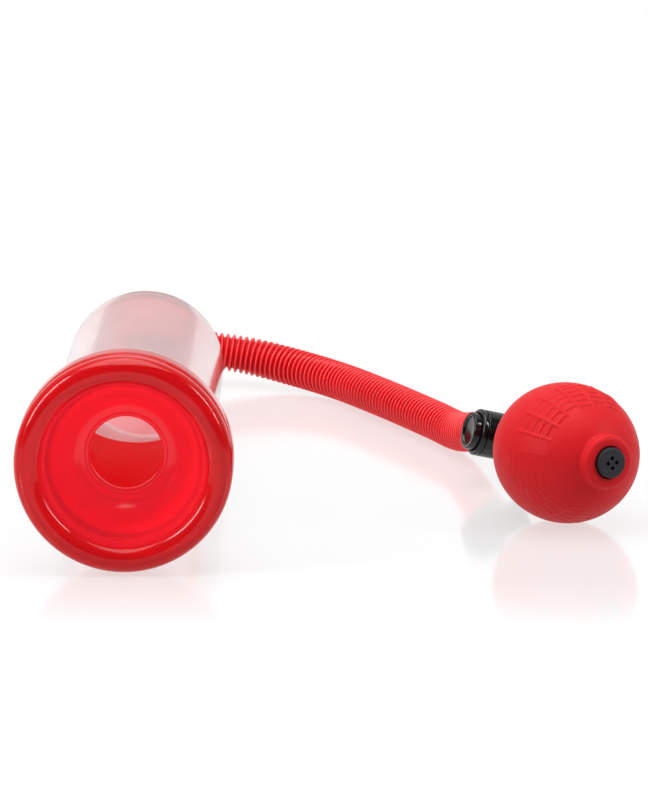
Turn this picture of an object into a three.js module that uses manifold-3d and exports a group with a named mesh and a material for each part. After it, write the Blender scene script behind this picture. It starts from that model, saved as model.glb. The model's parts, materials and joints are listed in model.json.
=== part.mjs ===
// Hand-squeezed vacuum pump: clear cylinder with a soft sealing sleeve, corrugated hose,
// release valve and squeeze bulb. Millimetres, +Z up, floor at z = 0.
import * as THREE from "three";
import { mergeVertices } from "three/addons/utils/BufferGeometryUtils.js";
import Module from "manifold-3d";

const wasm = await Module();
wasm.setup();

// ---- driving dimensions -------------------------------------------------------------
const gap = 0.3; // clearance between pieces that touch in the real object

const cylinderRadius = 31.5;
const cylinderWall = 3;
const cylinderLength = 199;
const endWall = 4;
const endEdge = 3; // rounding of the closed end's rim

const sleeveRadius = 41;
const frontBead = 5.2; // radius of the sleeve's rounded front edge
const rearBead = 5;
const rearBeadDepth = 21.2;
const collarRadius = 34.3;
const sleeveLength = 33;
const slotStart = 14.6; // depth of the groove that takes the cylinder's mouth
const openingRadius = 14.1;
const openingDepth = 29;
const tunnelStart = 34.5; // the soft tunnel behind the opening widens into a flat oval
const tunnelEnd = 123;
const tunnelRadius = 13.8;
const tunnelHalfWidth = 24;
const tunnelHalfHeight = 14;
const tunnelWall = 2;

const spigotHole = 5.3;
const spotRadius = 11.5; // shallow seat for the washer in the closed end
const spotDepth = 0.6;
const boreRadius = 2.2;
const hoseRadius = 8;

const bulbRadius = 27.2;
const bulbHalfLength = 31.4;
const bulbWall = 3;
const bulbTurn = 29.2; // degrees from -Y towards +X
const bulbTilt = 5.5;
const bossRadius = 10.4;
const bossFace = 32.6; // bulb centre to the flat face round the plug
const plugRadius = 5.9;
const plugStand = 2; // how far the plug stands out of the boss

const valveDistance = 66.2; // bulb centre to the centre of the valve's crossing
const runTurn = 20.1; // degrees from +Y towards -X
const runDrop = 7.8;
const barrelRoll = 15; // how far the button barrel leans above level
const barrelRadius = 9.3;

// ---- helpers ------------------------------------------------------------------------
const radians = THREE.MathUtils.degToRad;

function manifoldOf(geometry) {
  const bare = geometry.clone();
  bare.deleteAttribute("normal");
  bare.deleteAttribute("uv");
  const welded = mergeVertices(bare, 1e-4);
  const source = welded.index.array;
  const triangles = [];
  for (let i = 0; i < source.length; i += 3) {
    const [a, b, c] = [source[i], source[i + 1], source[i + 2]];
    if (a !== b && b !== c && c !== a) triangles.push(a, b, c);
  }
  const vertProperties = new Float32Array(welded.attributes.position.array);
  const build = (list) =>
    new wasm.Manifold(new wasm.Mesh({ numProp: 3, vertProperties, triVerts: new Uint32Array(list) }));
  const solid = build(triangles);
  if (solid.volume() > 0) return solid;
  const flipped = [];
  for (let i = 0; i < triangles.length; i += 3) {
    flipped.push(triangles[i], triangles[i + 2], triangles[i + 1]);
  }
  return build(flipped);
}

function geometryOf(solid) {
  const mesh = solid.getMesh();
  const geometry = new THREE.BufferGeometry();
  geometry.setAttribute("position", new THREE.BufferAttribute(new Float32Array(mesh.vertProperties), 3));
  geometry.setIndex(new THREE.BufferAttribute(new Uint32Array(mesh.triVerts), 1));
  geometry.computeVertexNormals();
  return geometry;
}

// Points along an arc in a [radius, along] profile; 0 degrees points outwards, 90 along the axis.
function arc(radius, along, size, from, to, steps) {
  const points = [];
  for (let i = 0; i <= steps; i++) {
    const angle = radians(from + ((to - from) * i) / steps);
    points.push([radius + size * Math.cos(angle), along + size * Math.sin(angle)]);
  }
  return points;
}

// A solid turned about local +Z from a [radius, along] profile. A ring profile closes on itself.
function turned(profile, segments) {
  const onAxis = profile[0][0] === 0;
  const outline = onAxis ? profile : [...profile, profile[0]];
  const points = outline.map(([radius, along]) => new THREE.Vector2(radius, along));
  const geometry = new THREE.LatheGeometry(points, segments);
  geometry.rotateX(Math.PI / 2);
  return manifoldOf(geometry);
}

const tube = (inner, outer, from, to, segments) =>
  turned([[inner, from], [outer, from], [outer, to], [inner, to]], segments);

const rod = (radius, from, to, segments) =>
  turned([[0, from], [radius, from], [radius, to], [0, to]], segments);

// A soft tube along local +Z whose section goes from a circle to a flat oval, with a rounded far rim.
function ovalTube(start, end, radius, halfWidth, halfHeight, wall, steps, segments) {
  const rings = [];
  const addRing = (along, growth) => {
    const t = (along - start) / (end - start);
    const share = t * t * (3 - 2 * t);
    const across = THREE.MathUtils.lerp(radius, halfWidth, share) + growth;
    const upwards = THREE.MathUtils.lerp(radius, halfHeight, share) + growth;
    const ring = [];
    for (let k = 0; k < segments; k++) {
      const angle = (2 * Math.PI * k) / segments;
      ring.push(across * Math.cos(angle), upwards * Math.sin(angle), along);
    }
    rings.push(ring);
  };
  const rim = wall / 2;
  for (let i = 0; i <= steps; i++) addRing(start + ((end - rim - start) * i) / steps, wall);
  addRing(end, rim);
  for (let i = steps; i >= 0; i--) addRing(start + ((end - rim - start) * i) / steps, 0);
  const positions = new Float32Array(rings.flat());
  const index = [];
  for (let i = 0; i < rings.length; i++) {
    const next = (i + 1) % rings.length;
    for (let k = 0; k < segments; k++) {
      const m = (k + 1) % segments;
      const [a, b, c, d] = [i * segments + k, i * segments + m, next * segments + m, next * segments + k];
      index.push(a, b, c, a, c, d);
    }
  }
  const geometry = new THREE.BufferGeometry();
  geometry.setAttribute("position", new THREE.BufferAttribute(positions, 3));
  geometry.setIndex(index);
  return manifoldOf(geometry);
}

function swept(curve, radius, sides, steps) {
  const section = new THREE.Shape();
  for (let i = 0; i < sides; i++) {
    const angle = (2 * Math.PI * i) / sides;
    const [x, y] = [radius * Math.cos(angle), radius * Math.sin(angle)];
    if (i === 0) section.moveTo(x, y);
    else section.lineTo(x, y);
  }
  section.closePath();
  const geometry = new THREE.ExtrudeGeometry(section, { steps, curveSegments: 1, extrudePath: curve });
  return manifoldOf(geometry);
}

// A placement whose local +Z runs along a direction and whose local +X is as near level as can be.
function placement(origin, direction) {
  const along = direction.clone().normalize();
  const side = new THREE.Vector3().crossVectors(new THREE.Vector3(0, 0, 1), along).normalize();
  const up = new THREE.Vector3().crossVectors(along, side);
  return new THREE.Matrix4().makeBasis(side, up, along).setPosition(origin);
}

const group = new THREE.Group();

function place(name, solid, matrix, color, roughness) {
  const material = new THREE.MeshStandardMaterial({ color, roughness });
  const geometry = geometryOf(solid);
  geometry.applyMatrix4(matrix);
  const mesh = new THREE.Mesh(geometry, material);
  mesh.name = name;
  group.add(mesh);
}

const red = 0xd41f2b;
const deepRed = 0xb81f28;
const black = 0x1c1a1b;
const clear = 0xe9dcdc;
const metal = 0xb9bcc0;
const palePlastic = 0xd9d6cf;

// ---- where things stand -------------------------------------------------------------
// The cylinder lies on the sleeve's rear bead and on its own rear rim, so it slopes down to the back.
const mouth = slotStart + gap;
const closedEnd = mouth + cylinderLength;
const rimRest = closedEnd - endEdge;
const slope = Math.asin((sleeveRadius - cylinderRadius) / (rimRest - rearBeadDepth));
const cylinderAxis = new THREE.Vector3(0, Math.cos(slope), -Math.sin(slope));
const beadHeight = (sleeveRadius - rearBead) * Math.cos(slope) + rearBead;
const beadPlace = new THREE.Vector3(0, rearBeadDepth * Math.cos(slope), beadHeight);
const cylinderOrigin = beadPlace.addScaledVector(cylinderAxis, -rearBeadDepth);
const cylinderFrame = placement(cylinderOrigin, cylinderAxis);

const bulbAxis = new THREE.Vector3(
  Math.sin(radians(bulbTurn)) * Math.cos(radians(bulbTilt)),
  -Math.cos(radians(bulbTurn)) * Math.cos(radians(bulbTilt)),
  Math.sin(radians(bulbTilt))
);
const runAxis = new THREE.Vector3(
  -Math.sin(radians(runTurn)) * Math.cos(radians(runDrop)),
  Math.cos(radians(runTurn)) * Math.cos(radians(runDrop)),
  -Math.sin(radians(runDrop))
);
const bulbHeight = Math.hypot(
  bulbRadius * Math.cos(radians(bulbTilt)),
  bulbHalfLength * Math.sin(radians(bulbTilt))
);
const bulbCentre = new THREE.Vector3(167.3, 84.6, bulbHeight);
const bulbFrame = placement(bulbCentre, bulbAxis);
const runFrame = placement(bulbCentre, runAxis);

const valveCentre = bulbCentre.clone().addScaledVector(runAxis, valveDistance);
const level = new THREE.Vector3().crossVectors(new THREE.Vector3(0, 0, 1), runAxis).normalize();
const barrelAxis = level
  .clone()
  .multiplyScalar(Math.cos(radians(barrelRoll)))
  .addScaledVector(new THREE.Vector3().crossVectors(runAxis, level), Math.sin(radians(barrelRoll)));
const barrelFrame = placement(valveCentre, barrelAxis);

// ---- cylinder and sleeve ------------------------------------------------------------
const cylinderInner = cylinderRadius - cylinderWall;
const capStart = closedEnd - 8;
const cylinderTube = tube(cylinderInner, cylinderRadius, mouth, capStart - gap, 56);
place("vacuum_cylinder", cylinderTube, cylinderFrame, clear, 0.1);

const capProfile = [
  [cylinderInner, capStart],
  [cylinderRadius, capStart],
  ...arc(cylinderRadius - endEdge, closedEnd - endEdge, endEdge, 0, 90, 3),
  [spotRadius, closedEnd],
  [spotRadius, closedEnd - spotDepth],
  [spigotHole, closedEnd - spotDepth],
  [spigotHole, closedEnd - endWall],
  ...arc(cylinderInner - 2, closedEnd - endWall - 2, 2, 90, 0, 2),
];
place("cylinder_end_cap", turned(capProfile, 56), cylinderFrame, clear, 0.1);

const beadCentre = sleeveRadius - frontBead;
const sleeveProfile = [
  ...arc(beadCentre, frontBead, frontBead, 165, 405, 12),
  [sleeveRadius - 1.7, 10.6],
  [sleeveRadius - 0.4, 12.2],
  ...arc(sleeveRadius - rearBead, rearBeadDepth, rearBead, 0, 90, 4),
  [collarRadius, rearBeadDepth + rearBead + 1],
  [collarRadius, sleeveLength - 1],
  [collarRadius - 1, sleeveLength],
  [cylinderRadius + gap, sleeveLength],
  [cylinderRadius + gap, slotStart],
  [cylinderInner - gap, slotStart],
  [cylinderInner - gap, sleeveLength - 5],
  [21.5, 31.5],
  [tunnelRadius + 4, tunnelStart - gap],
  [tunnelRadius, tunnelStart - gap],
  ...arc(openingRadius + 0.9, openingDepth - 0.2, 1.1, 180, 345, 4),
  [18.6, 27.2],
  [22, 24.6],
  [24.9, 20.6],
  [27.2, 15.6],
  [29.6, 10.8],
];
place("sealing_sleeve", turned(sleeveProfile, 56), cylinderFrame, red, 0.25);

const tunnel = ovalTube(
  tunnelStart,
  tunnelEnd,
  tunnelRadius,
  tunnelHalfWidth,
  tunnelHalfHeight,
  tunnelWall,
  8,
  36
);
place("sleeve_tunnel", tunnel, cylinderFrame, red, 0.25);

// ---- hose fitting on the closed end -------------------------------------------------
const flangeFace = closedEnd - endWall - 2 * gap - 1;
const washerStart = closedEnd - spotDepth + gap;
const nutStart = washerStart + 1 + gap;
const nutEnd = nutStart + 5;
const rearCuffStart = nutEnd + gap;
const rearCuffEnd = rearCuffStart + 12;
const rearBarbEnd = rearCuffEnd - 3;

const spigotProfile = [
  [boreRadius, flangeFace - 2.5],
  [10, flangeFace - 2.5],
  [10, flangeFace],
  [5, flangeFace],
  [5, rearCuffStart + 2],
  [4.4, rearCuffStart + 3],
  [5, rearBarbEnd - 4],
  [3.9, rearBarbEnd],
  [boreRadius, rearBarbEnd],
];
place("cylinder_spigot", turned(spigotProfile, 28), cylinderFrame, black, 0.4);
place(
  "spigot_gasket",
  tube(spigotHole, 9.5, flangeFace + gap, flangeFace + gap + 1, 32),
  cylinderFrame,
  black,
  0.8
);
place("spigot_washer", tube(spigotHole, 10, washerStart, washerStart + 1, 32), cylinderFrame, metal, 0.3);

const nutBlank = rod(9.6, nutStart, nutEnd, 6).subtract(rod(spigotHole, nutStart - 1, nutEnd + 1, 32));
const nutCorners = turned(
  [[0, nutStart - 1], [9.9, nutStart - 1], [8.2, nutEnd + 0.5], [0, nutEnd + 0.5]],
  32
);
place("spigot_nut", nutBlank.intersect(nutCorners), cylinderFrame, black, 0.4);

function cuff(start, end, barbEnd) {
  return turned(
    [
      [spigotHole, start],
      [7.5, start],
      [hoseRadius, start + 0.6],
      [hoseRadius, start + 4],
      [7.6, start + 4.6],
      ...arc(6.8, end - 0.8, 0.8, 0, 90, 2),
      [boreRadius, end],
      [boreRadius, barbEnd + gap],
      [spigotHole, barbEnd + gap],
    ],
    24
  );
}
place("hose_rear_cuff", cuff(rearCuffStart, rearCuffEnd, rearBarbEnd), cylinderFrame, deepRed, 0.6);

// ---- squeeze bulb -------------------------------------------------------------------
const neckStart = 24;
const neckEnd = 42;
const neckRadius = 10.5;
const neckBore = 6.3;

function ellipsoidProfile(radius, halfLength, steps) {
  const points = [];
  for (let i = 0; i <= steps; i++) {
    const angle = radians(-90 + (180 * i) / steps);
    const across = i === 0 || i === steps ? 0 : radius * Math.cos(angle);
    points.push([across, halfLength * Math.sin(angle)]);
  }
  return points;
}

const boss = turned(
  [[0, 20], [bossRadius, 20], ...arc(bossRadius - 2, bossFace - 2, 2, 0, 90, 3), [0, bossFace]],
  32
);
const bulbSkin = turned(ellipsoidProfile(bulbRadius, bulbHalfLength, 22), 44).add(boss);
const bulbHollow = turned(ellipsoidProfile(bulbRadius - bulbWall, bulbHalfLength - bulbWall, 12), 24);
const plugHole = rod(plugRadius + gap, 10, bossFace + 2, 28);
const toRow = (solid, matrix) => solid.transform(matrix.elements);
const neck = toRow(
  turned([[0, 15], [neckRadius, 15], ...arc(neckRadius - 1, neckEnd - 1, 1, 0, 90, 2), [0, neckEnd]], 28),
  runFrame
);
const neckHole = toRow(rod(neckBore, 15, neckEnd + 2, 24), runFrame);
const bulb = toRow(bulbSkin, bulbFrame)
  .add(neck)
  .subtract(toRow(bulbHollow, bulbFrame))
  .subtract(neckHole)
  .subtract(toRow(plugHole, bulbFrame));
place("squeeze_bulb", bulb, new THREE.Matrix4(), red, 0.6);

const clampProfile = [
  [neckRadius + gap, 34],
  [neckRadius + 1.5, 34],
  [neckRadius + 1.5, 38.5],
  [neckRadius + gap, 38.5],
];
place("neck_clamp_ring", turned(clampProfile, 28), runFrame, metal, 0.3);

// ---- exhaust valve in the bulb's tip ------------------------------------------------
const plugFace = bossFace + plugStand;
const chamberRadius = 4.2;
const chamberStart = 24.2;
const plateThickness = 1.5;
const housingBlank = turned(
  [
    [0, plugFace - plateThickness],
    [chamberRadius, plugFace - plateThickness],
    [chamberRadius, chamberStart],
    [plugRadius - 0.5, chamberStart],
    [plugRadius, chamberStart + 0.8],
    ...arc(plugRadius - 0.6, plugFace - 0.6, 0.6, 0, 90, 3),
    [0, plugFace],
  ],
  32
);
const ventRadius = 0.8;
const ventSpacing = 1.9;
let housing = housingBlank;
for (const turn of [0, 90, 180, 270]) {
  const vent = rod(ventRadius, plugFace - plateThickness - 1, plugFace + 1, 12);
  const x = ventSpacing * Math.cos(radians(turn));
  const y = ventSpacing * Math.sin(radians(turn));
  housing = housing.subtract(vent.translate([x, y, 0]));
}
place("exhaust_housing", housing, bulbFrame, black, 0.7);

const exhaustSeatEnd = chamberStart + 3;
const exhaustSeat = tube(1.5, chamberRadius - gap, chamberStart, exhaustSeatEnd, 24);
place("exhaust_seat", exhaustSeat, bulbFrame, palePlastic, 0.5);
const exhaustFlap = rod(3.4, exhaustSeatEnd + gap, exhaustSeatEnd + gap + 0.8, 24);
place("exhaust_flap", exhaustFlap, bulbFrame, black, 0.8);

// ---- release valve ------------------------------------------------------------------
const tipRadius = 6;
const pocketRadius = 4.6;
const pocketEnd = neckStart + 6;
const runRadius = 7.5;
const frontCuffStart = valveDistance + 12.3;
const frontCuffEnd = frontCuffStart + 10;
const frontBarbEnd = frontCuffEnd - 3;
const runProfile = [
  [boreRadius, pocketEnd],
  [pocketRadius, pocketEnd],
  [pocketRadius, neckStart],
  [tipRadius - 0.5, neckStart],
  [tipRadius, neckStart + 1],
  [tipRadius, neckEnd + gap],
  ...arc(runRadius - 1, neckEnd + gap + 1, 1, -90, 0, 2),
  [runRadius, frontCuffStart - gap],
  [5, frontCuffStart - gap],
  [4.4, frontCuffStart + 3],
  [5, frontBarbEnd - 4],
  [3.9, frontBarbEnd],
  [boreRadius, frontBarbEnd],
];
const buttonBore = 7.8;
const barrelEnd = 10.6;
const boreFloor = 3;
const poppetTop = 0.8;
const stemHole = 2.4;
const poppetChamber = 4.2;
const barrel = turned(
  [
    [0, -9],
    [barrelRadius - 3, -9],
    ...arc(barrelRadius - 2, -7, 2, -60, 0, 2),
    [barrelRadius, barrelEnd],
    [buttonBore, barrelEnd],
    [buttonBore, boreFloor],
    [stemHole, boreFloor],
    [stemHole, poppetTop],
    [poppetChamber, poppetTop],
    [poppetChamber, -5.8],
    [0, -5.8],
  ],
  32
);
const boreAlongRun = rod(boreRadius, neckEnd, valveDistance + 10, 20);
const solidRun = turned(runProfile, 28);
const clearBarrel = toRow(rod(barrelRadius - 0.5, -8, barrelEnd, 32), barrelFrame);
const valveBody = toRow(solidRun, runFrame)
  .subtract(clearBarrel)
  .add(toRow(barrel, barrelFrame))
  .subtract(toRow(boreAlongRun, runFrame));
place("valve_body", valveBody, new THREE.Matrix4(), black, 0.25);

const bezelStart = barrelEnd + gap;
const bezelProfile = [
  [buttonBore, bezelStart],
  [barrelRadius, bezelStart],
  ...arc(barrelRadius - 0.9, bezelStart + 1.1, 1, 0, 90, 3),
  [buttonBore, bezelStart + 2.1],
];
place("button_bezel", turned(bezelProfile, 32), barrelFrame, black, 0.2);

const buttonRadius = 7.4;
const buttonFace = 16;
const buttonBack = 8.2;
const stemRadius = 1.5;
const buttonProfile = [
  [0, 13.2],
  [stemRadius + gap, 13.2],
  [stemRadius + gap, buttonBack],
  [buttonRadius, buttonBack],
  ...arc(buttonRadius - 0.6, buttonFace - 0.6, 0.6, 0, 90, 3),
  [buttonRadius - 1.1, buttonFace],
  [buttonRadius - 1.7, buttonFace - 0.6],
  [3.2, buttonFace - 1.1],
  [0, buttonFace - 1.25],
];
place("release_button", turned(buttonProfile, 32), barrelFrame, black, 0.15);

const poppetProfile = [
  [0, -2.2],
  [3.6, -2.2],
  [3.6, -0.8],
  [stemRadius, -0.8],
  [stemRadius, 12.9],
  [0, 12.9],
];
place("release_stem", turned(poppetProfile, 24), barrelFrame, palePlastic, 0.5);
place("release_seal", turned(arc(3, 0, 0.5, 0, 315, 7), 20), barrelFrame, black, 0.8);

const springRadius = 4.6;
const wireRadius = 0.4;
const springStart = boreFloor + gap + wireRadius;
const springEnd = buttonBack - gap - wireRadius;
const springTurns = 3.5;
class Helix extends THREE.Curve {
  getPoint(t, target = new THREE.Vector3()) {
    const angle = 2 * Math.PI * springTurns * t;
    const along = springStart + (springEnd - springStart) * t;
    return target.set(springRadius * Math.cos(angle), springRadius * Math.sin(angle), along);
  }
}
place("release_spring", swept(new Helix(), wireRadius, 6, 48), barrelFrame, metal, 0.3);

const inletFlapStart = pocketEnd - gap - 0.8;
const inletFlap = rod(4.1, inletFlapStart, inletFlapStart + 0.8, 24);
place("inlet_flap", inletFlap, runFrame, black, 0.8);
const inletRetainer = tube(2.4, pocketRadius - gap, neckStart + 0.3, neckStart + 2.3, 24);
place("inlet_retainer", inletRetainer, runFrame, palePlastic, 0.5);

place("hose_front_cuff", cuff(frontCuffStart, frontCuffEnd, frontBarbEnd), runFrame, deepRed, 0.6);

// ---- hose ---------------------------------------------------------------------------
const hoseStart = cylinderOrigin.clone().addScaledVector(cylinderAxis, rearCuffEnd + gap);
const hoseEnd = bulbCentre.clone().addScaledVector(runAxis, frontCuffEnd + gap);
const hoseRest = hoseRadius + 0.4;
const hosePoints = [
  hoseStart,
  hoseStart.clone().addScaledVector(cylinderAxis, 10),
  new THREE.Vector3(-4, 258, 29.4),
  new THREE.Vector3(-8.4, 276, 26),
  new THREE.Vector3(-5, 293, 22),
  new THREE.Vector3(6, 306.5, 18.4),
  new THREE.Vector3(21, 313.5, 15.6),
  new THREE.Vector3(39.5, 313.5, 12.8),
  new THREE.Vector3(57.5, 306, 10),
  new THREE.Vector3(77.5, 286.8, hoseRest),
  new THREE.Vector3(97, 254.5, hoseRest),
  new THREE.Vector3(117.5, 216.3, hoseRest),
  new THREE.Vector3(127.3, 195.5, 8.8),
  hoseEnd.clone().addScaledVector(runAxis, 5),
  hoseEnd,
];
const hosePath = new THREE.CatmullRomCurve3(hosePoints, false, "centripetal");
place("corrugated_hose", swept(hosePath, hoseRadius, 12, 24), new THREE.Matrix4(), red, 0.5);

// ---- origin under the middle of the bounding box, hose left out ----------------------
const extent = new THREE.Box3();
for (const mesh of group.children) {
  if (mesh.name !== "corrugated_hose") extent.expandByObject(mesh);
}
const middle = extent.getCenter(new THREE.Vector3());
for (const mesh of group.children) mesh.geometry.translate(-middle.x, -middle.y, -extent.min.z);

export default group;
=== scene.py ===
import json
import math

import bmesh
import bpy
from mathutils import Matrix, Vector


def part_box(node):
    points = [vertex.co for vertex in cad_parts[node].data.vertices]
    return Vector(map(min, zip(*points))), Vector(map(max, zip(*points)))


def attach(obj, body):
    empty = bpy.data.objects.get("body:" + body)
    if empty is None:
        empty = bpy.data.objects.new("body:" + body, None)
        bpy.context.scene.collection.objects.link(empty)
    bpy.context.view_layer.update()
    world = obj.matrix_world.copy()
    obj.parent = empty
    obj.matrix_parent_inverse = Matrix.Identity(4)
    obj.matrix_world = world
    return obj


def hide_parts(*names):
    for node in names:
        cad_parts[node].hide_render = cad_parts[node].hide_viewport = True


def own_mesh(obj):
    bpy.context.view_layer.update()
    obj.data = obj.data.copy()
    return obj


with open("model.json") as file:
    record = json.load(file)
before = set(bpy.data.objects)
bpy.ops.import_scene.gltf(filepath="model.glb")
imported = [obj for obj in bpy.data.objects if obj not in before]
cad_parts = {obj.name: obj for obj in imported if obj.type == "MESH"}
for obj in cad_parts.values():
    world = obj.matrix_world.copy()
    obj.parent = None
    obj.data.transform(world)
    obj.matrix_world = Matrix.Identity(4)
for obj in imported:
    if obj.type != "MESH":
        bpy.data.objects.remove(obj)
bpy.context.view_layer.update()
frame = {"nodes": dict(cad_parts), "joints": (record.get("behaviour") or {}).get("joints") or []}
bpy.context.scene.view_settings.view_transform = "Standard"

MM = 0.001

# ---- axes and places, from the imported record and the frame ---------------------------
joint_axis = {j["name"]: Vector(j["axis"]).normalized() for j in frame["joints"]}
cylinder_axis = -joint_axis["sleeve_pull"]
bulb_axis = -joint_axis["bulb_squeeze"]
run_axis = -joint_axis["inlet_lift"]
barrel_axis = -joint_axis["release_press"]

# Sizes in mm. Places along the cylinder are measured from the sleeve's front edge, and places
# along the valve's run from the bulb's centre.
GAP = 0.3  # clearance between pieces that touch in the real object
CYLINDER_RADIUS = 31.5
CYLINDER_INNER = 28.5
END_EDGE = 3  # rounding of the closed end's rim
SPOT_RADIUS = 11.5  # shallow seat for the washer in the closed end
SPOT_DEPTH = 0.6
SPIGOT_HOLE = 5.3
SLEEVE_RADIUS = 41.0
FRONT_BEAD = 5.2
REAR_BEAD = 5
SLOT_START = 14.6  # groove that takes the cylinder's mouth
MOUTH = 14.9
CLOSED_END = 213.9
TUNNEL_START = 34.5
TUNNEL_END = 123
TUNNEL_RADIUS = 13.8
TUNNEL_HALF_WIDTH = 24
TUNNEL_HALF_HEIGHT = 14
TUNNEL_WALL = 2
TUNNEL_LAP = 3.4  # how far the tunnel reaches forward to line the opening
BULB_RADIUS = 27.2
BULB_HALF = 31.4
BOSS_RADIUS = 10.4
BOSS_FACE = 32.6
PLUG_HOLE = 6.2
CLAMP_DISTANCE = 36.25
VALVE_DISTANCE = 66.2
BARREL_RADIUS = 9.3
RUN_RADIUS = 7.5
HOSE_FRONT = 88.8
HOSE_REAR = CLOSED_END + 18.6


def placement(origin, direction):
    """A matrix whose local +Z runs along direction and whose local +X is level."""
    along = direction.normalized()
    side = Vector((0, 0, 1)).cross(along).normalized()
    up = along.cross(side)
    matrix = Matrix((side, up, along)).transposed().to_4x4()
    matrix.translation = origin
    return matrix


# The cylinder's box gives where its mouth is across and lengthwise. Its height follows from the
# closed end's rounded rim, which rests on the floor.
low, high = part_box("vacuum_cylinder")
cylinder_up = Vector((0, -cylinder_axis.z, cylinder_axis.y))
rim_height = ((CYLINDER_RADIUS - END_EDGE) * cylinder_up.z + END_EDGE) * MM
rim_distance = (CLOSED_END - END_EDGE - MOUTH) * MM
mouth_centre = Vector(
    (
        (low.x + high.x) / 2,
        low.y + CYLINDER_RADIUS * MM * cylinder_up.y,
        rim_height - rim_distance * cylinder_axis.z,
    )
)
cylinder_frame = placement(mouth_centre - cylinder_axis * MOUTH * MM, cylinder_axis)

low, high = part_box("neck_clamp_ring")
bulb_centre = (low + high) / 2 - run_axis * CLAMP_DISTANCE * MM
bulb_frame = placement(bulb_centre, bulb_axis)
run_frame = placement(bulb_centre, run_axis)
valve_centre = bulb_centre + run_axis * VALVE_DISTANCE * MM
barrel_frame = placement(valve_centre, barrel_axis)


# ---- mesh helpers ------------------------------------------------------------------
def arc(radius, along, size, start, end, steps):
    """[radius, along] points on an arc; 0 degrees points outwards and 90 along the axis."""
    points = []
    for i in range(steps + 1):
        angle = math.radians(start + (end - start) * i / steps)
        points.append((radius + size * math.cos(angle), along + size * math.sin(angle)))
    return points


def eased(points, steps):
    """A smooth curve through 2D points, with that many steps between each two."""
    result = []
    last = len(points) - 1
    for i in range(last):
        a, b, c, d = (Vector(points[min(max(k, 0), last)]) for k in (i - 1, i, i + 1, i + 2))
        for k in range(steps):
            t = k / steps
            straight = 2 * b + (c - a) * t
            bend = (2 * a - 5 * b + 4 * c - d) * t * t + (3 * b - a - 3 * c + d) * t * t * t
            result.append(tuple(0.5 * (straight + bend)))
    result.append(tuple(points[-1]))
    return result


def new_object(name, bm, sharp):
    """A smooth-shaded object from a bmesh, with edges creased above an angle in degrees."""
    bmesh.ops.recalc_face_normals(bm, faces=bm.faces)
    for face in bm.faces:
        face.smooth = True
    for edge in bm.edges:
        if len(edge.link_faces) == 2 and edge.calc_face_angle(0) > math.radians(sharp):
            edge.smooth = False
    mesh = bpy.data.meshes.new(name)
    bm.to_mesh(mesh)
    bm.free()
    obj = bpy.data.objects.new(name, mesh)
    bpy.context.scene.collection.objects.link(obj)
    return obj


def join_rings(bm, rings):
    """Faces between each ring of vertices and the next."""
    for a, b in zip(rings, rings[1:]):
        for k in range(len(a)):
            n = (k + 1) % len(a)
            bm.faces.new((a[k], b[k], b[n], a[n]))


def lathe(name, profile, matrix, segments=128, sharp=38, thinness=None):
    """A solid about the matrix's +Z, from a profile in mm: [radius, along] for a round section
    and [half width, half height, along] for an oval one. A thinness function of a profile
    point's radius and place is kept with the mesh, and its material reads it."""
    bm = bmesh.new()
    layer = bm.verts.layers.float.new("thinness") if thinness else None
    rings = []
    for *radii, along in profile:
        across, upwards = radii[0], radii[-1]
        if across < 1e-6:
            rings.append([bm.verts.new(matrix @ Vector((0, 0, along * MM)))])
            continue
        ring = []
        for k in range(segments):
            angle = 2 * math.pi * k / segments
            point = Vector((across * math.cos(angle), upwards * math.sin(angle), along)) * MM
            ring.append(bm.verts.new(matrix @ point))
        rings.append(ring)
        if thinness:
            for vertex in ring:
                vertex[layer] = thinness(across, along)
    closed = len(rings[0]) > 1
    pairs = list(zip(rings, rings[1:]))
    if closed:
        pairs.append((rings[-1], rings[0]))
    for a, b in pairs:
        for k in range(segments):
            n = (k + 1) % segments
            if len(a) == 1:
                bm.faces.new((a[0], b[k], b[n]))
            elif len(b) == 1:
                bm.faces.new((a[k], b[0], a[n]))
            else:
                bm.faces.new((a[k], b[k], b[n], a[n]))
    return new_object(name, bm, sharp)


# ---- materials ---------------------------------------------------------------------
def material(name, color, roughness, **sockets):
    """A Principled material. Names in sockets use underscores for the socket's spaces."""
    mat = bpy.data.materials.new(name)
    mat.use_nodes = True
    shader = mat.node_tree.nodes["Principled BSDF"]
    shader.inputs["Base Color"].default_value = (*color, 1)
    shader.inputs["Roughness"].default_value = roughness
    for key, value in sockets.items():
        shader.inputs[key.replace("_", " ")].default_value = value
    return mat


def texture(mat, scale, detail=3):
    """Noise on the object's own coordinates."""
    nodes, links = mat.node_tree.nodes, mat.node_tree.links
    coords = nodes.new("ShaderNodeTexCoord")
    noise = nodes.new("ShaderNodeTexNoise")
    noise.inputs["Scale"].default_value = scale
    noise.inputs["Detail"].default_value = detail
    links.new(coords.outputs["Object"], noise.inputs["Vector"])
    return noise


def vary_roughness(mat, scale, low, high):
    nodes, links = mat.node_tree.nodes, mat.node_tree.links
    noise = texture(mat, scale)
    spread = nodes.new("ShaderNodeMapRange")
    spread.inputs["From Min"].default_value = 0.3
    spread.inputs["From Max"].default_value = 0.7
    spread.inputs["To Min"].default_value = low
    spread.inputs["To Max"].default_value = high
    links.new(noise.outputs["Fac"], spread.inputs["Value"])
    links.new(spread.outputs["Result"], nodes["Principled BSDF"].inputs["Roughness"])


def vary_color(mat, scale, first, second):
    nodes, links = mat.node_tree.nodes, mat.node_tree.links
    noise = texture(mat, scale)
    ramp = nodes.new("ShaderNodeValToRGB")
    ramp.color_ramp.elements[0].position = 0.3
    ramp.color_ramp.elements[0].color = (*first, 1)
    ramp.color_ramp.elements[1].position = 0.7
    ramp.color_ramp.elements[1].color = (*second, 1)
    links.new(noise.outputs["Fac"], ramp.inputs["Fac"])
    links.new(ramp.outputs["Color"], nodes["Principled BSDF"].inputs["Base Color"])


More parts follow.
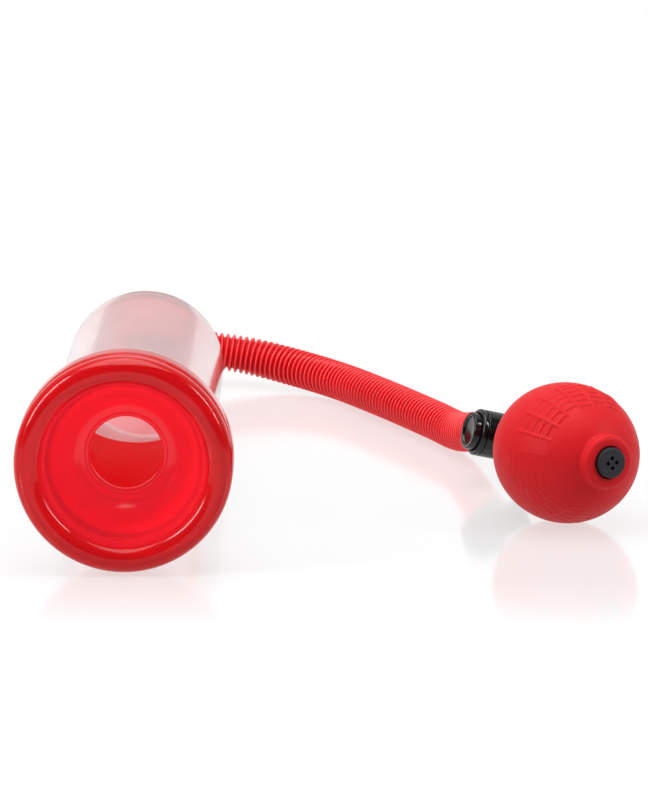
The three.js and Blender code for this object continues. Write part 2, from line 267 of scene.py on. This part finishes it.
def bump(mat, scale, strength, distance):
    nodes, links = mat.node_tree.nodes, mat.node_tree.links
    noise = texture(mat, scale)
    node = nodes.new("ShaderNodeBump")
    node.inputs["Strength"].default_value = strength
    node.inputs["Distance"].default_value = distance
    links.new(noise.outputs["Fac"], node.inputs["Height"])
    links.new(node.outputs["Normal"], nodes["Principled BSDF"].inputs["Normal"])


def color_by(mat, attribute, low, high, start=0.0, end=1.0):
    """Base colour that follows one of the mesh's own attributes."""
    nodes, links = mat.node_tree.nodes, mat.node_tree.links
    value = nodes.new("ShaderNodeAttribute")
    value.attribute_name = attribute
    ramp = nodes.new("ShaderNodeValToRGB")
    ramp.color_ramp.elements[0].position = start
    ramp.color_ramp.elements[0].color = (*low, 1)
    ramp.color_ramp.elements[1].position = end
    ramp.color_ramp.elements[1].color = (*high, 1)
    links.new(value.outputs["Fac"], ramp.inputs["Fac"])
    links.new(ramp.outputs["Color"], nodes["Principled BSDF"].inputs["Base Color"])


def glow_by(mat, attribute, strength):
    """Painted glow: emission that stands in for light led through a clear or thin material,
    following one of the mesh's attributes.
    """
    nodes, links = mat.node_tree.nodes, mat.node_tree.links
    value = nodes.new("ShaderNodeAttribute")
    value.attribute_name = attribute
    scale = nodes.new("ShaderNodeMath")
    scale.operation = "MULTIPLY"
    scale.inputs[1].default_value = strength
    links.new(value.outputs["Fac"], scale.inputs[0])
    links.new(scale.outputs["Value"], nodes["Principled BSDF"].inputs["Emission Strength"])


# The sleeve's emission is a painted glow, standing in for light shining through its thin funnel
# wall.
sleeve_mat = material(
    "red_sleeve",
    (0.96, 0.008, 0.013),
    0.16,
    Transmission_Weight=0.6,
    IOR=1.35,
    Specular_IOR_Level=0.1,
    Coat_Weight=0.35,
    Coat_Roughness=0.05,
    Coat_IOR=1.3,
    Emission_Color=(0.86, 0.05, 0.09, 1),
)
# Painted light: the colour is lighter on the thin funnel, where the light shines through, and
# darker on the thick bead.
color_by(sleeve_mat, "thinness", (0.74, 0.006, 0.010), (0.86, 0.010, 0.015))
glow_by(sleeve_mat, "thinness", 0.2)
vary_roughness(sleeve_mat, 60, 0.13, 0.19)

# The tunnel's emission is a painted glow, standing in for light reaching it through the sleeve.
tunnel_mat = material(
    "red_sleeve_inner",
    (0.85, 0.008, 0.013),
    0.6,
    Transmission_Weight=0.3,
    Specular_IOR_Level=0.1,
    Emission_Color=(0.86, 0.016, 0.022, 1),
    Emission_Strength=0.16,
)
vary_roughness(tunnel_mat, 60, 0.55, 0.65)

clear_mat = material("clear_acrylic", (0.97, 0.78, 0.78), 0.10, Transmission_Weight=0.92, IOR=1.38)
color_by(clear_mat, "thinness", (1.0, 0.30, 0.32), (1.0, 0.86, 0.86))
vary_roughness(clear_mat, 30, 0.07, 0.13)

cuff_mat = material("red_cuff", (0.70, 0.008, 0.014), 0.36, Specular_IOR_Level=0.35)
vary_color(cuff_mat, 40, (0.67, 0.007, 0.012), (0.73, 0.009, 0.016))

# The hose's emission is a painted glow.
hose_mat = material(
    "red_hose",
    (0.88, 0.008, 0.014),
    0.32,
    Specular_IOR_Level=0.25,
    Emission_Color=(0.80, 0.008, 0.012, 1),
    Emission_Strength=0.06,
)
# Painted light: lighter, pinker crests are painted highlights and darker valleys are painted
# shade.
color_by(hose_mat, "rib", (0.60, 0.004, 0.007), (0.90, 0.07, 0.08), 0.72, 1.0)
vary_roughness(hose_mat, 120, 0.26, 0.38)

bulb_mat = material("red_rubber", (0.56, 0.008, 0.012), 0.5, Specular_IOR_Level=0.14)
vary_color(bulb_mat, 35, (0.54, 0.007, 0.011), (0.58, 0.009, 0.013))
vary_roughness(bulb_mat, 150, 0.44, 0.56)

black_mat = material("black_gloss", (0.006, 0.005, 0.005), 0.1, IOR=1.45)
vary_roughness(black_mat, 200, 0.07, 0.16)

plug_mat = material("black_matte", (0.012, 0.012, 0.016), 0.5, IOR=1.4)
bump(plug_mat, 900, 0.15, 0.0002)

rubber_mat = material("black_rubber", (0.02, 0.02, 0.02), 0.7)
bump(rubber_mat, 700, 0.2, 0.0002)

pale_mat = material("pale_plastic", (0.62, 0.59, 0.54), 0.45)
vary_roughness(pale_mat, 200, 0.38, 0.52)

# Nothing dark shows through the cylinder, so its hidden fitting is taken as pale.
fitting_mat = material("pale_fitting", (0.86, 0.66, 0.66), 0.4, Transmission_Weight=0.5, IOR=1.4)
vary_roughness(fitting_mat, 120, 0.34, 0.46)

steel_mat = material("steel", (0.62, 0.63, 0.65), 0.25, Metallic=1.0)
vary_roughness(steel_mat, 400, 0.18, 0.34)

for node, mat in {
    "cylinder_spigot": fitting_mat,
    "spigot_gasket": fitting_mat,
    "spigot_washer": fitting_mat,
    "spigot_nut": fitting_mat,
    "hose_rear_cuff": cuff_mat,
    "hose_front_cuff": cuff_mat,
    "valve_body": black_mat,
    "button_bezel": black_mat,
    "release_button": black_mat,
    "release_stem": pale_mat,
    "release_seal": rubber_mat,
    "release_spring": steel_mat,
    "inlet_flap": rubber_mat,
    "inlet_retainer": pale_mat,
    "neck_clamp_ring": steel_mat,
    "exhaust_housing": plug_mat,
    "exhaust_seat": pale_mat,
    "exhaust_flap": rubber_mat,
}.items():
    mesh = frame["nodes"][node].data
    mesh.materials.clear()
    mesh.materials.append(mat)


def finish_piece(obj, mat, body, slot, *nodes):
    obj.data.materials.append(mat)
    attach(obj, body)
    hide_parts(*nodes)
    return obj


# ---- clear cylinder ----------------------------------------------------------------
mouth_edge = 0.3
end_wall = 4
inner_edge = 2
ring_spacing = 20  # rings along the wall, so that its colour can change along it
cylinder_profile = [
    (CYLINDER_INNER, MOUTH + mouth_edge),
    (CYLINDER_INNER + mouth_edge, MOUTH),
    (CYLINDER_RADIUS - mouth_edge, MOUTH),
    (CYLINDER_RADIUS, MOUTH + mouth_edge),
    *((CYLINDER_RADIUS, CLOSED_END - ring_spacing * i) for i in range(8, 0, -1)),
    *arc(CYLINDER_RADIUS - END_EDGE, CLOSED_END - END_EDGE, END_EDGE, 0, 90, 10),
    (SPOT_RADIUS, CLOSED_END),
    (SPOT_RADIUS, CLOSED_END - SPOT_DEPTH),
    (SPIGOT_HOLE, CLOSED_END - SPOT_DEPTH),
    (SPIGOT_HOLE, CLOSED_END - end_wall),
    *arc(CYLINDER_INNER - inner_edge, CLOSED_END - end_wall - inner_edge, inner_edge, 90, 0, 8),
    *((CYLINDER_INNER, CLOSED_END - ring_spacing * i) for i in range(1, 9)),
]


def cylinder_thinness(radius, along):
    """1 on the thin wall, less towards the closed end, and 0 on the thick end wall."""
    if radius < CYLINDER_INNER - 1:
        return 0
    fade_length = 60
    rear_value = 0.45
    return rear_value + (1 - rear_value) * min(max((CLOSED_END - along) / fade_length, 0), 1)


cylinder = lathe("clear_cylinder", cylinder_profile, cylinder_frame, 160, 38, cylinder_thinness)
finish_piece(cylinder, clear_mat, "pump", "clear_acrylic", "vacuum_cylinder", "cylinder_end_cap")

# ---- sealing sleeve ----------------------------------------------------------------
funnel = eased(
    [
        (15.9, 27.95),
        (18.6, 27.2),
        (22, 24.6),
        (24.9, 20.6),
        (27.2, 15.6),
        (29.6, 10.8),
        (30.78, 6.55),
    ],
    6,
)
rear_bead_front = [
    (39.3, 10.6),
    (40.2, 11.5),
    (40.75, 12.6),
    (SLEEVE_RADIUS, 14.6),
    (SLEEVE_RADIUS, 21.2),
]
opening_radius = 13.9
collar_radius = 34.3
sleeve_length = 33
sleeve_profile = [
    *arc(SLEEVE_RADIUS - FRONT_BEAD, FRONT_BEAD, FRONT_BEAD, 165, 405, 48),
    *eased(rear_bead_front, 4),
    *arc(SLEEVE_RADIUS - REAR_BEAD, 21.2, REAR_BEAD, 5, 85, 14),
    (SLEEVE_RADIUS - REAR_BEAD, 26.2),
    (collar_radius + 0.3, 26.6),
    (collar_radius, 27.2),
    *arc(collar_radius - 1, sleeve_length - 1, 1, 0, 90, 6),
    (CYLINDER_RADIUS + GAP, sleeve_length),
    (CYLINDER_RADIUS + GAP, SLOT_START),
    (CYLINDER_INNER - GAP, SLOT_START),
    (CYLINDER_INNER - GAP, 28),
    *eased([(26.8, 29.4), (21.5, 31.5), (17.8, 34)], 4),
    (17.8, TUNNEL_START - GAP),
    (16.2, TUNNEL_START - GAP),
    (16, 31.2),
    (opening_radius, 31),
    *arc(opening_radius + 1.1, 28.8, 1.1, 180, 315, 12),
    *funnel[1:-1],
]


def funnel_glow_mask(radius, along):
    """1 on the thin funnel wall, fading to 0 on the thick bead; it sets where the sleeve's painted
    glow and lighter colour go.
    """
    return min(max((32.3 - radius) / 2, 0), 1)


sleeve = lathe("sealing_sleeve_skin", sleeve_profile, cylinder_frame, 192, 38, funnel_glow_mask)
finish_piece(sleeve, sleeve_mat, "sleeve", "red_sleeve", "sealing_sleeve")


def tunnel_section(along, growth):
    """The tunnel's oval at a depth behind the opening, grown outwards by some mm."""
    t = max(along - TUNNEL_START, 0) / (TUNNEL_END - TUNNEL_START)
    share = t * t * (3 - 2 * t)
    half_width = TUNNEL_RADIUS + (TUNNEL_HALF_WIDTH - TUNNEL_RADIUS) * share
    half_height = TUNNEL_RADIUS + (TUNNEL_HALF_HEIGHT - TUNNEL_RADIUS) * share
    return (half_width + growth, half_height + growth, along)


tunnel_tip = TUNNEL_END - TUNNEL_WALL / 2
tunnel_front = TUNNEL_START - TUNNEL_LAP
tunnel_depths = [tunnel_front + (tunnel_tip - tunnel_front) * i / 24 for i in range(25)]
tunnel_profile = [
    *(tunnel_section(along, TUNNEL_WALL) for along in tunnel_depths),
    tunnel_section(TUNNEL_END, TUNNEL_WALL / 2),
    *(tunnel_section(along, 0) for along in reversed(tunnel_depths)),
]
tunnel = lathe("sleeve_tunnel_skin", tunnel_profile, cylinder_frame, 128)
finish_piece(tunnel, tunnel_mat, "sleeve", "red_sleeve", "sleeve_tunnel")

# ---- squeeze bulb ------------------------------------------------------------------
# Each grip panel's start and end round the bulb's axis, in degrees, and how deep its relief is.
PANELS = ((-63.5, 37.5, 1.0), (-180.5, -79.5, 0.25))
PANEL_TOP = 49  # degrees from the plug
PANEL_END = 82
COLUMNS = 6
RIB_HEIGHT = 0.28
GROOVE_DEPTH = 0.4
BAR_PITCH = 6.6


def soft_step(value, edge, width):
    """0 before an edge and 1 after it, with a smooth rise of a given width."""
    t = min(max((value - edge) / width + 0.5, 0), 1)
    return t * t * (3 - 2 * t)


def grip_height(polar, turn):
    """How far the grip pattern stands above the bulb's skin, in mm."""
    if not PANEL_TOP - 2 < polar < PANEL_END + 2:
        return 0.0
    for start, end, relief in PANELS:
        inside = (turn - start) % 360
        width = end - start
        if inside > width + 2 and inside < 358:
            continue
        if inside >= 358:
            inside -= 360
        column_width = width / COLUMNS
        column = min(max(int(inside // column_width), 0), COLUMNS - 1)
        from_rib = abs(inside - round(inside / column_width) * column_width)
        within = soft_step(polar, PANEL_TOP, 0.8) * (1 - soft_step(polar, PANEL_END, 0.8))
        rib = RIB_HEIGHT * (1 - soft_step(from_rib, 0.9, 0.9)) * within
        if inside < 0 or inside > width:
            return rib * relief
        row = (polar - PANEL_TOP) / BAR_PITCH + 0.5 * (column % 2)
        in_row = abs(row % 1 - 0.5) * BAR_PITCH
        groove = (1 - soft_step(in_row, 1.5, 1.0)) * soft_step(from_rib, 2.0, 1.2)
        return (rib - GROOVE_DEPTH * groove * within) * relief
    return 0.0


def bulb_skin():
    """The bulb from the plug's hole over its boss to the neck's side, with the grip on it."""
    turns = 480
    foot_radius = 11.6  # where the boss's fillet meets the bulb
    boss_profile = [
        (PLUG_HOLE, 27.5),
        (PLUG_HOLE, BOSS_FACE - 0.5),
        *arc(PLUG_HOLE + 0.5, BOSS_FACE - 0.5, 0.5, 180, 90, 5),
        *arc(BOSS_RADIUS - 2, BOSS_FACE - 2, 2, 90, 10, 10),
        *eased([(10.42, 30.6), (10.5, 29.8), (10.8, 29), (foot_radius, 28.4)], 4)[:-1],
    ]
    rows = [(radius, along, None) for radius, along in boss_profile]
    foot = math.degrees(math.asin(foot_radius / BULB_RADIUS))
    steps = 260
    for i in range(steps + 1):
        polar = foot + (180 - foot) * i / steps
        radius = BULB_RADIUS * math.sin(math.radians(polar))
        along = BULB_HALF * math.cos(math.radians(polar))
        rows.append((radius, along, polar))
    bm = bmesh.new()
    rings = []
    for radius, along, polar in rows[:-1]:
        ring = []
        for k in range(turns):
            turn = 360 * k / turns
            lift = 0.0 if polar is None else grip_height(polar, turn if turn < 180 else turn - 360)
            scale = 1 + lift / BULB_RADIUS
            x = radius * scale * math.sin(math.radians(turn))
            y = radius * scale * math.cos(math.radians(turn))
            ring.append(bm.verts.new(bulb_frame @ (Vector((x, y, along * scale)) * MM)))
        rings.append(ring)
    join_rings(bm, rings)
    tip = bm.verts.new(bulb_frame @ Vector((0, 0, -BULB_HALF * MM)))
    for k in range(turns):
        bm.faces.new((rings[-1][k], tip, rings[-1][(k + 1) % turns]))
    return new_object("bulb_skin", bm, 60)


bulb = finish_piece(bulb_skin(), bulb_mat, "pump", "red_rubber", "squeeze_bulb")
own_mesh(bulb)

neck_radius = 10.5
neck_bore = 6.3
neck_end = 42
neck_fillet = [
    (15.5, 22.5),
    (12.6, 25.6),
    (11.2, 28.6),
    (10.6, 32),
    (neck_radius, 36),
    (neck_radius, 40.8),
]
neck_profile = [
    (neck_bore, 22),
    (15.5, 22),
    *eased(neck_fillet, 4),
    *arc(neck_radius - 1, neck_end - 1, 1, 10, 90, 6),
    *arc(neck_bore + 0.5, neck_end - 0.5, 0.5, 90, 180, 4),
]
neck = lathe("bulb_neck", neck_profile, run_frame, 96)
finish_piece(neck, bulb_mat, "pump", "red_rubber", "squeeze_bulb")

# ---- valve -------------------------------------------------------------------------
button_bore = 7.8
bore_floor = 3
stem_hole = 2.4
poppet_top = 0.8
barrel_profile = [
    (0, -9),
    *arc(BARREL_RADIUS - 2, -7, 2, -90, 0, 10),
    *arc(BARREL_RADIUS - 0.4, 10.2, 0.4, 0, 90, 5),
    *arc(button_bore + 0.4, 10.2, 0.4, 90, 180, 5),
    (button_bore, bore_floor),
    (stem_hole, bore_floor),
    (stem_hole, poppet_top),
    (0, poppet_top),
]
barrel = lathe("valve_barrel", barrel_profile, barrel_frame, 128)
finish_piece(barrel, black_mat, "pump", "black_gloss")

pocket_radius = 4.6
pocket_end = 30
tip_radius = 6
tip_start = 24
shoulder = neck_end + GAP
run_end = 78.2
# Rings lie close together under the barrel, where the run's top is pressed down below.
crossing_rings = [(RUN_RADIUS, VALVE_DISTANCE + 0.3 * i) for i in range(-29, 30)]
run_tube_profile = [
    (0, pocket_end),
    (pocket_radius, pocket_end),
    (pocket_radius, tip_start + 0.3),
    (pocket_radius + 0.3, tip_start),
    *arc(tip_radius - 0.6, tip_start + 0.6, 0.6, -90, 0, 4),
    (tip_radius, shoulder),
    *arc(RUN_RADIUS - 1, shoulder + 1, 1, -90, 0, 6),
    *crossing_rings,
    *arc(RUN_RADIUS - 1, run_end - 1, 1, 0, 90, 6),
    (0, run_end),
]
run_tube = lathe("valve_run", run_tube_profile, run_frame, 96)
# The run stops in the middle of the barrel's wall, so that the barrel stays open for the button.
to_barrel = barrel_frame.inverted()
mid_wall = 8.5 * MM
run_top = (poppet_top - 0.2) * MM
for vertex in run_tube.data.vertices:
    place = to_barrel @ vertex.co
    if math.hypot(place.x, place.y) < mid_wall and place.z > run_top:
        place.z = run_top
        vertex.co = barrel_frame @ place
finish_piece(run_tube, black_mat, "pump", "black_gloss", "valve_body")

bezel_profile = [
    *arc(button_bore + 0.3, 11.2, 0.3, 180, 270, 4),
    *arc(BARREL_RADIUS - 0.3, 11.2, 0.3, -90, 0, 4),
    *arc(BARREL_RADIUS - 1, 12.0, 1.0, 0, 90, 10),
    *arc(button_bore + 0.3, 12.7, 0.3, 90, 180, 4),
]
bezel = lathe("bezel_ring", bezel_profile, barrel_frame, 128)
finish_piece(bezel, black_mat, "pump", "black_gloss", "button_bezel")

button_radius = 7.4
button_back = 8.2
button_face = 16
button_profile = [
    (0, button_back),
    (button_radius - 0.3, button_back),
    *arc(button_radius - 0.3, button_back + 0.3, 0.3, -90, 0, 3),
    *arc(button_radius - 0.6, button_face - 0.6, 0.6, 0, 90, 8),
    *arc(button_radius - 1.3, button_face - 0.4, 0.4, 90, 150, 4),
    (5.4, 15.15),
    (3.2, 14.9),
    (0, 14.75),
]
button = lathe("button_cap", button_profile, barrel_frame, 128, 50)
finish_piece(button, black_mat, "release", "black_gloss", "release_button")

SPRING_START = 3.7
SPRING_END = 7.5
SPRING_TURNS = 3.5
SPRING_RADIUS = 4.6
WIRE_RADIUS = 0.4


def coil(name, matrix, steps, sides):
    """The return spring under the button, as a round wire wound about the matrix's +Z."""
    bm = bmesh.new()
    rings = []
    for i in range(steps + 1):
        angle = 2 * math.pi * SPRING_TURNS * i / steps
        along = SPRING_START + (SPRING_END - SPRING_START) * i / steps
        ring = []
        for k in range(sides):
            turn = 2 * math.pi * k / sides
            radius = SPRING_RADIUS + WIRE_RADIUS * math.cos(turn)
            height = along + WIRE_RADIUS * math.sin(turn)
            point = Vector((radius * math.cos(angle), radius * math.sin(angle), height)) * MM
            ring.append(bm.verts.new(matrix @ point))
        rings.append(ring)
    join_rings(bm, rings)
    for ring in (rings[0], rings[-1]):
        bm.faces.new(ring)
    return new_object(name, bm, 60)


spring = coil("spring_coil", barrel_frame, 168, 12)
finish_piece(spring, steel_mat, "pump", "steel", "release_spring")
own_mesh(spring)

# ---- corrugated hose ---------------------------------------------------------------
HOSE_RADIUS = 8.0
RIB_DEPTH = 1.7
RIB_PITCH = 2.6


def through(points, steps):
    """Centripetal Catmull-Rom points through a list, as the frame's own hose is drawn."""
    ends = [points[0] * 2 - points[1], *points, points[-1] * 2 - points[-2]]
    result = []
    for i in range(len(points) - 1):
        p0, p1, p2, p3 = ends[i : i + 4]
        t0 = 0.0
        t1 = t0 + math.sqrt((p1 - p0).length)
        t2 = t1 + math.sqrt((p2 - p1).length)
        t3 = t2 + math.sqrt((p3 - p2).length)
        for k in range(steps):
            t = t1 + (t2 - t1) * k / steps
            a1 = p0.lerp(p1, (t - t0) / (t1 - t0))
            a2 = p1.lerp(p2, (t - t1) / (t2 - t1))
            a3 = p2.lerp(p3, (t - t2) / (t3 - t2))
            b1 = a1.lerp(a2, (t - t0) / (t2 - t0))
            b2 = a2.lerp(a3, (t - t1) / (t3 - t1))
            result.append(b1.lerp(b2, (t - t1) / (t2 - t1)))
    result.append(points[-1].copy())
    return result


def evenly(points, spacing):
    """The same curve with points a given distance apart."""
    lengths = [0.0]
    for a, b in zip(points, points[1:]):
        lengths.append(lengths[-1] + (b - a).length)
    count = round(lengths[-1] / spacing)
    result = []
    i = 0
    for k in range(count + 1):
        target = lengths[-1] * k / count
        while i < len(lengths) - 2 and lengths[i + 1] < target:
            i += 1
        share = (target - lengths[i]) / (lengths[i + 1] - lengths[i])
        result.append(points[i].lerp(points[i + 1], share))
    return result, lengths[-1]


origin = cylinder_frame.translation
hose_start = origin + cylinder_axis * HOSE_REAR * MM
hose_end = bulb_centre + run_axis * HOSE_FRONT * MM
hose_rest = HOSE_RADIUS + 0.4


def on_floor(x, y, z):
    """A point in mm from the place on the floor under the sleeve's front."""
    return Vector((origin.x + x * MM, origin.y + y * MM, z * MM))


route = [
    hose_start,
    hose_start + cylinder_axis * 10 * MM,
    on_floor(-4, 258, 29.4),
    on_floor(-8.4, 276, 26),
    on_floor(-5, 293, 22),
    on_floor(6, 306.5, 18.4),
    on_floor(21, 313.5, 15.6),
    on_floor(39.5, 313.5, 12.8),
    on_floor(57.5, 306, 10),
    on_floor(77.5, 286.8, hose_rest),
    on_floor(97, 254.5, hose_rest),
    on_floor(117.5, 216.3, hose_rest),
    on_floor(127.3, 195.5, 8.8),
    hose_end + run_axis * 5 * MM,
    hose_end,
]
steps_per_rib = 8
centres, hose_length = evenly(through(route, 24), RIB_PITCH / steps_per_rib * MM)


def corrugated(name, points, sides):
    """A hose with round ribs along evenly spaced points. How far each ring stands out is kept with
    the mesh as "rib", and the hose's colour reads it for a painted highlight on the crests and
    painted shade in the valleys."""
    bm = bmesh.new()
    rib = bm.verts.layers.float.new("rib")
    rings = []
    normal = Vector((0, 0, 1))
    for i, point in enumerate(points):
        tangent = (points[min(i + 1, len(points) - 1)] - points[max(i - 1, 0)]).normalized()
        normal = (normal - tangent * normal.dot(tangent)).normalized()
        side = tangent.cross(normal)
        phase = 2 * math.pi * i / steps_per_rib
        # A power below 1 widens the crests and the valleys.
        crest = math.copysign(abs(math.cos(phase)) ** 0.7, math.cos(phase))
        height = 0.5 + 0.5 * crest
        radius = (HOSE_RADIUS - RIB_DEPTH * (1 - height)) * MM
        ring = []
        for k in range(sides):
            angle = 2 * math.pi * k / sides
            offset = normal * math.cos(angle) + side * math.sin(angle)
            vertex = bm.verts.new(point + offset * radius)
            vertex[rib] = height
            ring.append(vertex)
        rings.append(ring)
    join_rings(bm, rings)
    for ring in (rings[0], rings[-1]):
        bm.faces.new(ring)
    return new_object(name, bm, 80)


hose = corrugated("ribbed_hose", centres, 48)
finish_piece(hose, hose_mat, "pump", "red_hose", "corrugated_hose")


# ---- floor, camera and lights --------------------------------------------------------
def build_floor():
    bpy.ops.mesh.primitive_plane_add(size=12, location=(0, 2, -0.0002))
    floor = bpy.context.object
    floor.name = "studio_floor"
    mat = bpy.data.materials.new("studio_floor")
    mat.use_nodes = True
    nodes, links = mat.node_tree.nodes, mat.node_tree.links
    shader = nodes["Principled BSDF"]
    shader.inputs["Base Color"].default_value = (0.16, 0.16, 0.16, 1)
    shader.inputs["Roughness"].default_value = 0.12
    shader.inputs["Emission Color"].default_value = (1, 1, 1, 1)
    coords = nodes.new("ShaderNodeTexCoord")
    split = nodes.new("ShaderNodeSeparateXYZ")
    links.new(coords.outputs["Object"], split.inputs["Vector"])
    # The gloss fades out in front of the object, and the floor's own light makes up for it.
    fade_start, fade_end = -2.25, -2.11
    for socket, near, far in (("Specular IOR Level", 0.0, 0.5), ("Emission Strength", 0.92, 0.63)):
        fade = nodes.new("ShaderNodeMapRange")
        fade.interpolation_type = "SMOOTHSTEP"
        fade.inputs["From Min"].default_value = fade_start
        fade.inputs["From Max"].default_value = fade_end
        fade.inputs["To Min"].default_value = near
        fade.inputs["To Max"].default_value = far
        links.new(split.outputs["Y"], fade.inputs["Value"])
        links.new(fade.outputs["Result"], shader.inputs[socket])
    floor.data.materials.append(mat)


build_floor()

# A long lens from far off, looking slightly down.
camera_data = bpy.data.cameras.new("camera")
camera_data.lens = 270
camera_data.clip_end = 100
camera = bpy.data.objects.new("camera", camera_data)
bpy.context.scene.collection.objects.link(camera)
camera.location = (origin.x + 0.10132, origin.y - 2.1646, 0.5796)
camera.rotation_euler = (math.radians(90 - 13.3), 0, math.radians(0.7))
bpy.context.scene.camera = camera


def area_light(name, location, target, size, power):
    data = bpy.data.lights.new(name, "AREA")
    data.shape = "RECTANGLE"
    data.size, data.size_y = size
    data.energy = power
    light = bpy.data.objects.new(name, data)
    light.location = location
    light.rotation_euler = (Vector(target) - Vector(location)).to_track_quat("-Z", "Y").to_euler()
    bpy.context.scene.collection.objects.link(light)


area_light("top_softbox", (-0.1, -0.1, 1.2), (0, 0, 0), (1.0, 1.1), 15)
area_light("left_strip", (-1.1, -0.5, 0.7), (0, 0, 0.03), (0.25, 0.9), 12)
area_light("right_strip", (1.2, -0.3, 0.8), (0, 0, 0.03), (0.2, 0.8), 9)

# The surroundings are brighter behind the object than in front.
world = bpy.data.worlds.new("studio")
world.use_nodes = True
bpy.context.scene.world = world
nodes, links = world.node_tree.nodes, world.node_tree.links
coords = nodes.new("ShaderNodeTexCoord")
split = nodes.new("ShaderNodeSeparateXYZ")
spread = nodes.new("ShaderNodeMapRange")
spread.inputs["From Min"].default_value = 0.1
spread.inputs["From Max"].default_value = 0.5
spread.inputs["To Min"].default_value = 0.08
spread.inputs["To Max"].default_value = 0.75
links.new(coords.outputs["Generated"], split.inputs["Vector"])
links.new(split.outputs["Y"], spread.inputs["Value"])
links.new(spread.outputs["Result"], nodes["Background"].inputs["Strength"])
nodes["Background"].inputs["Color"].default_value = (1, 1, 1, 1)
